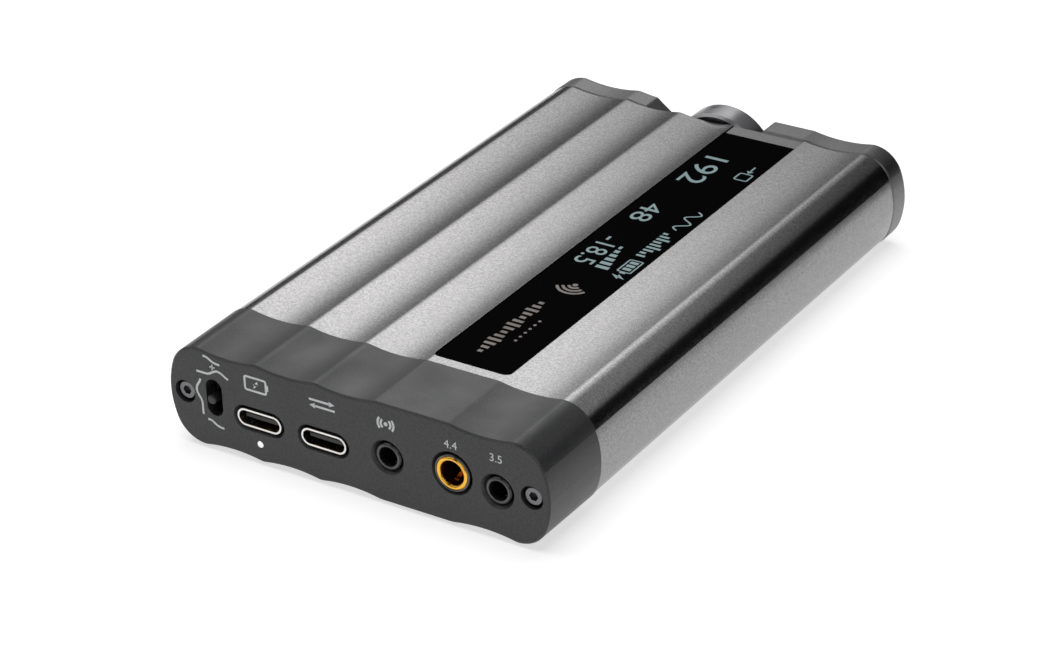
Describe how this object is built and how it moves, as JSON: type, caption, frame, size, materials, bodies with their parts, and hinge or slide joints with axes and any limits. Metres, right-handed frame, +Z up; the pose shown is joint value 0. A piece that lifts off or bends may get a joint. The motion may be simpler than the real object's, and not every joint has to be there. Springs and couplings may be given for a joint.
{
  "type": "pocket digital-to-analogue converter",
  "caption": "Pocket digital-to-analogue converter and headphone amplifier: scalloped metal case, plastic rear cap with sockets, display strip, volume knob, keys and slide switches.",
  "frame": {"origin": "middle of the footprint, on the surface that the feet stand on", "axes": "+X across the case to the right as seen from the knob end, +Y along the case from the knob end to the socket panel, +Z up out of the display face"},
  "size_m": [0.0758, 0.1256, 0.0198],
  "materials": {
    "anodised_case": "satin bead-blasted anodised",
    "front_metal": "satin anodised, smooth",
    "cap_plastic": "fine matt texture",
    "display_cover": "polished black-backed glass",
    "adhesive": "black foam tape",
    "oled_glass": "dark display glass",
    "board_green": "solder-masked glass laminate",
    "flex_amber": "polyimide film",
    "connector_ivory": "moulded nylon",
    "battery_wrap": "foil pouch",
    "lead_jacket": "silicone insulation",
    "bright_shell": "nickel-plated steel",
    "black_moulding": "moulded black nylon",
    "dark_sleeve": "dark nickel plate",
    "gold_sleeve": "gold-plated brass",
    "switch_steel": "stamped steel",
    "screw_steel": "black-oxide steel",
    "shaft_steel": "turned steel",
    "knob_metal": "satin anodised with bright chamfers",
    "hub_brass": "turned brass",
    "button_metal": "satin anodised",
    "light_pipe": "clear light pipe, lit white",
    "led_package": "white package",
    "capacitor_can": "drawn can",
    "ferrite": "moulded ferrite",
    "foot_rubber": "moulded rubber"
  },
  "bodies": {
    "case": {"amplifier_chips": "black_moulding", "antenna_lead": "lead_jacket", "antenna_patch": "flex_amber", "battery_foam": "adhesive", "battery_lead": "lead_jacket", "battery_pack": "battery_wrap", "battery_plug": "connector_ivory", "body_shell": "anodised_case", "charge_led": "led_package", "charge_light_pipe": "light_pipe", "charge_usb_shell": "bright_shell", "charge_usb_tongue": "black_moulding", "data_usb_shell": "bright_shell", "data_usb_tongue": "black_moulding", "digital_in_jack": "black_moulding", "digital_in_sleeve": "dark_sleeve", "display_adhesive": "adhesive", "display_glass": "display_cover", "display_ribbon": "flex_amber", "effect_button_switch": "black_moulding", "encoder_body": "switch_steel", "encoder_nut": "shaft_steel", "filter_capacitors": "capacitor_can", "filter_switch_body": "switch_steel", "front_cap": "front_metal", "front_screws": "screw_steel", "headphone_balanced_jack": "black_moulding", "headphone_balanced_sleeve": "gold_sleeve", "headphone_single_jack": "black_moulding", "headphone_single_sleeve": "dark_sleeve", "input_button_switch": "black_moulding", "insulating_sheet": "adhesive", "line_balanced_jack": "black_moulding", "line_balanced_sleeve": "gold_sleeve", "line_single_jack": "black_moulding", "line_single_sleeve": "dark_sleeve", "main_board": "board_green", "oled_carrier": "board_green", "oled_panel": "oled_glass", "power_inductors": "ferrite", "rear_cap": "cap_plastic", "rear_screws": "screw_steel", "ribbon_socket": "connector_ivory", "rubber_feet": "foot_rubber", "sense_switch_body": "switch_steel", "shield_can": "switch_steel", "wireless_module": "board_green"},
    "knob_press": {"encoder_plunger": "black_moulding"},
    "knob": {"volume_knob": "knob_metal", "knob_hub": "hub_brass", "encoder_shaft": "shaft_steel"},
    "input_key": {"input_button": "button_metal"},
    "effect_key": {"effect_button": "button_metal"},
    "filter_slider": {"filter_switch_lever": "black_moulding"},
    "sense_slider": {"sense_switch_lever": "black_moulding"}
  },
  "joints": [
    {"name": "volume_push", "type": "slide", "parent": "case", "child": "knob_press", "axis": [0, 1, 0], "range_m": [0, 0.0004], "stiffness_N_per_m": 2500, "springref_m": -0.0002},
    {"name": "volume_turn", "type": "hinge", "parent": "knob_press", "child": "knob", "pos_m": [0, -0.06, 0.01], "axis": [0, 1, 0], "continuous": true},
    {"name": "input_push", "type": "slide", "parent": "case", "child": "input_key", "axis": [0, 1, 0], "range_m": [0, 0.0003], "stiffness_N_per_m": 1500, "springref_m": -0.0002},
    {"name": "effect_push", "type": "slide", "parent": "case", "child": "effect_key", "axis": [0, 1, 0], "range_m": [0, 0.0003], "stiffness_N_per_m": 1500, "springref_m": -0.0002},
    {"name": "filter_slide", "type": "slide", "parent": "case", "child": "filter_slider", "axis": [0, 0, 1], "range_m": [-0.0021, 0.0021]},
    {"name": "sense_slide", "type": "slide", "parent": "case", "child": "sense_slider", "axis": [1, 0, 0], "range_m": [-0.002, 0.002]}
  ]
}
